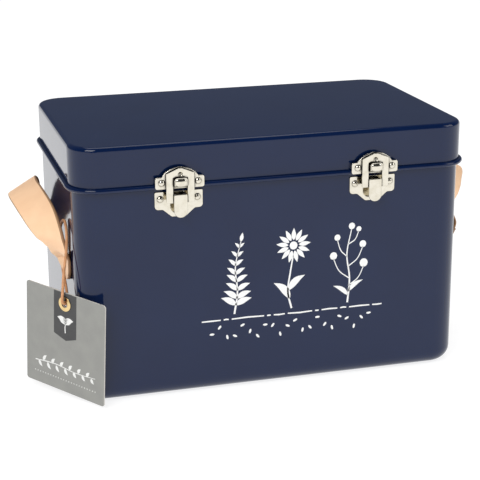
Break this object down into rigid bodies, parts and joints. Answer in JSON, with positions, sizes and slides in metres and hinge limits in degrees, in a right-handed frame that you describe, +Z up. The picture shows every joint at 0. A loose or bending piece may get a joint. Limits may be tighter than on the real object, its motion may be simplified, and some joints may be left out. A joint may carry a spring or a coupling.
{
  "type": "garden seed organizer box",
  "caption": "Rectangular sheet-steel storage box with a hinged deep lid, toggle latches, leather strap handles and divided compartments for seed packets.",
  "frame": {"origin": "on the resting plane, at the middle of the body in plan", "axes": "+X to the box's right seen from the latches, -Y the latch side, +Z up"},
  "size_m": [0.3852, 0.2126, 0.2005],
  "materials": {
    "navy_paint": "gloss stove enamel, dark navy",
    "bright_nickel": "bright nickel plate",
    "satin_nickel": "nickel-plated steel, satin",
    "antique_brass": "antique brass, dulled",
    "leather": "undyed vegetable-tanned leather, satin grain and rough flesh side",
    "card_board": "stiff uncoated board",
    "tag_card": "matt grey board",
    "brass": "polished brass",
    "lace": "round leather lace, tan"
  },
  "bodies": {
    "box": {"body_shell": "navy_paint", "centre_partition": "navy_paint", "tag_card": "tag_card", "tag_cord": "lace", "tag_eyelet": "brass", "tag_knot": "lace", "latch_left_base": "bright_nickel", "latch_left_base_rivets": "bright_nickel", "latch_left_lever_pin": "satin_nickel", "hinge_left_body_leaf": "satin_nickel", "hinge_left_pin": "satin_nickel", "hinge_left_body_rivets": "satin_nickel", "handle_left_strap": "leather", "handle_left_rivets": "antique_brass", "latch_right_base": "bright_nickel", "latch_right_base_rivets": "bright_nickel", "latch_right_lever_pin": "satin_nickel", "hinge_right_body_leaf": "satin_nickel", "hinge_right_pin": "satin_nickel", "hinge_right_body_rivets": "satin_nickel", "handle_right_strap": "leather", "handle_right_rivets": "antique_brass"},
    "lid": {"lid_shell": "navy_paint", "latch_left_strike": "bright_nickel", "latch_left_strike_rivets": "bright_nickel", "hinge_left_lid_leaf": "satin_nickel", "hinge_left_lid_rivets": "satin_nickel", "latch_right_strike": "bright_nickel", "latch_right_strike_rivets": "bright_nickel", "hinge_right_lid_leaf": "satin_nickel", "hinge_right_lid_rivets": "satin_nickel"},
    "lever_left": {"latch_left_lever": "bright_nickel", "latch_left_hasp_pin": "satin_nickel"},
    "hasp_left": {"latch_left_hasp": "bright_nickel"},
    "lever_right": {"latch_right_lever": "bright_nickel", "latch_right_hasp_pin": "satin_nickel"},
    "hasp_right": {"latch_right_hasp": "bright_nickel"},
    "card_01": {"divider_card_01": "card_board"},
    "card_02": {"divider_card_02": "card_board"},
    "card_03": {"divider_card_03": "card_board"},
    "card_04": {"divider_card_04": "card_board"},
    "card_05": {"divider_card_05": "card_board"},
    "card_06": {"divider_card_06": "card_board"},
    "card_07": {"divider_card_07": "card_board"},
    "card_08": {"divider_card_08": "card_board"},
    "card_09": {"divider_card_09": "card_board"},
    "card_10": {"divider_card_10": "card_board"},
    "card_11": {"divider_card_11": "card_board"},
    "card_12": {"divider_card_12": "card_board"}
  },
  "joints": [
    {"name": "lid_hinge", "type": "hinge", "parent": "box", "child": "lid", "pos_m": [0, 0.101, 0.165], "axis": [-1, 0, 0], "range_deg": [0, 100]},
    {"name": "lever_left_swing", "type": "hinge", "parent": "box", "child": "lever_left", "pos_m": [-0.0763, -0.097, 0.1606], "axis": [-1, 0, 0], "range_deg": [0, 80]},
    {"name": "hasp_left_swing", "type": "hinge", "parent": "lever_left", "child": "hasp_left", "pos_m": [-0.0763, -0.0992, 0.158], "axis": [1, 0, 0], "range_deg": [0, 104]},
    {"name": "lever_right_swing", "type": "hinge", "parent": "box", "child": "lever_right", "pos_m": [0.0763, -0.097, 0.1606], "axis": [-1, 0, 0], "range_deg": [0, 80]},
    {"name": "hasp_right_swing", "type": "hinge", "parent": "lever_right", "child": "hasp_right", "pos_m": [0.0763, -0.0992, 0.158], "axis": [1, 0, 0], "range_deg": [0, 104]},
    {"name": "card_01_slide", "type": "slide", "parent": "box", "child": "card_01", "axis": [0, 1, 0], "range_m": [-0.011, 0.011]},
    {"name": "card_02_slide", "type": "slide", "parent": "box", "child": "card_02", "axis": [0, 1, 0], "range_m": [-0.011, 0.011]},
    {"name": "card_03_slide", "type": "slide", "parent": "box", "child": "card_03", "axis": [0, 1, 0], "range_m": [-0.011, 0.011]},
    {"name": "card_04_slide", "type": "slide", "parent": "box", "child": "card_04", "axis": [0, 1, 0], "range_m": [-0.011, 0.011]},
    {"name": "card_05_slide", "type": "slide", "parent": "box", "child": "card_05", "axis": [0, 1, 0], "range_m": [-0.011, 0.011]},
    {"name": "card_06_slide", "type": "slide", "parent": "box", "child": "card_06", "axis": [0, 1, 0], "range_m": [-0.011, 0.011]},
    {"name": "card_07_slide", "type": "slide", "parent": "box", "child": "card_07", "axis": [0, 1, 0], "range_m": [-0.011, 0.011]},
    {"name": "card_08_slide", "type": "slide", "parent": "box", "child": "card_08", "axis": [0, 1, 0], "range_m": [-0.011, 0.011]},
    {"name": "card_09_slide", "type": "slide", "parent": "box", "child": "card_09", "axis": [0, 1, 0], "range_m": [-0.011, 0.011]},
    {"name": "card_10_slide", "type": "slide", "parent": "box", "child": "card_10", "axis": [0, 1, 0], "range_m": [-0.011, 0.011]},
    {"name": "card_11_slide", "type": "slide", "parent": "box", "child": "card_11", "axis": [0, 1, 0], "range_m": [-0.011, 0.011]},
    {"name": "card_12_slide", "type": "slide", "parent": "box", "child": "card_12", "axis": [0, 1, 0], "range_m": [-0.011, 0.011]}
  ],
  "couplings": [
    {"joint": "hasp_left_swing", "follows": "lever_left_swing", "ratio": 1.3},
    {"joint": "hasp_right_swing", "follows": "lever_right_swing", "ratio": 1.3}
  ]
}
